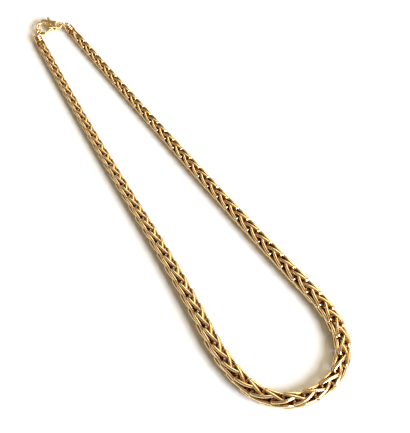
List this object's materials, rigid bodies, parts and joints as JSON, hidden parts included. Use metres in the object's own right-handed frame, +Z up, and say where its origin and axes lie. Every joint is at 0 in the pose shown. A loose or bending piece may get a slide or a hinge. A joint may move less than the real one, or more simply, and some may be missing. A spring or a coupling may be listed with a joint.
{
  "type": "wheat chain necklace",
  "caption": "Graduated wheat link chain necklace in yellow gold, lying in a long U and closed by a lobster clasp between two ribbed end caps.",
  "frame": {"origin": "on the surface that the necklace lies on, below the middle of its box", "axes": "+Z up from the surface; +Y away from the viewer, along the necklace's long way; +X to the viewer's right"},
  "size_m": [0.1334, 0.1881, 0.0066],
  "materials": {
    "chain_gold": "polished yellow gold",
    "cap_gold": "polished yellow gold, dark in the grooves",
    "ring_gold": "polished yellow gold wire",
    "clasp_gold": "polished yellow gold",
    "lever_gold": "polished yellow gold"
  },
  "bodies": {
    "necklace": {"chain_left": "chain_gold", "chain_right": "chain_gold", "left_cap": "cap_gold", "right_cap": "cap_gold", "catch_ring": "ring_gold", "tail_ring": "ring_gold", "clasp_body": "clasp_gold", "clasp_pin": "lever_gold"},
    "lever": {"clasp_lever": "lever_gold"}
  },
  "joints": [
    {"name": "lever_pivot", "type": "hinge", "parent": "necklace", "child": "lever", "pos_m": [-0.05879, 0.08889, 0.00198], "axis": [0, 0, -1], "range_deg": [0, 24], "stiffness_Nm_per_rad": 0.002, "springref_deg": -8.59}
  ]
}
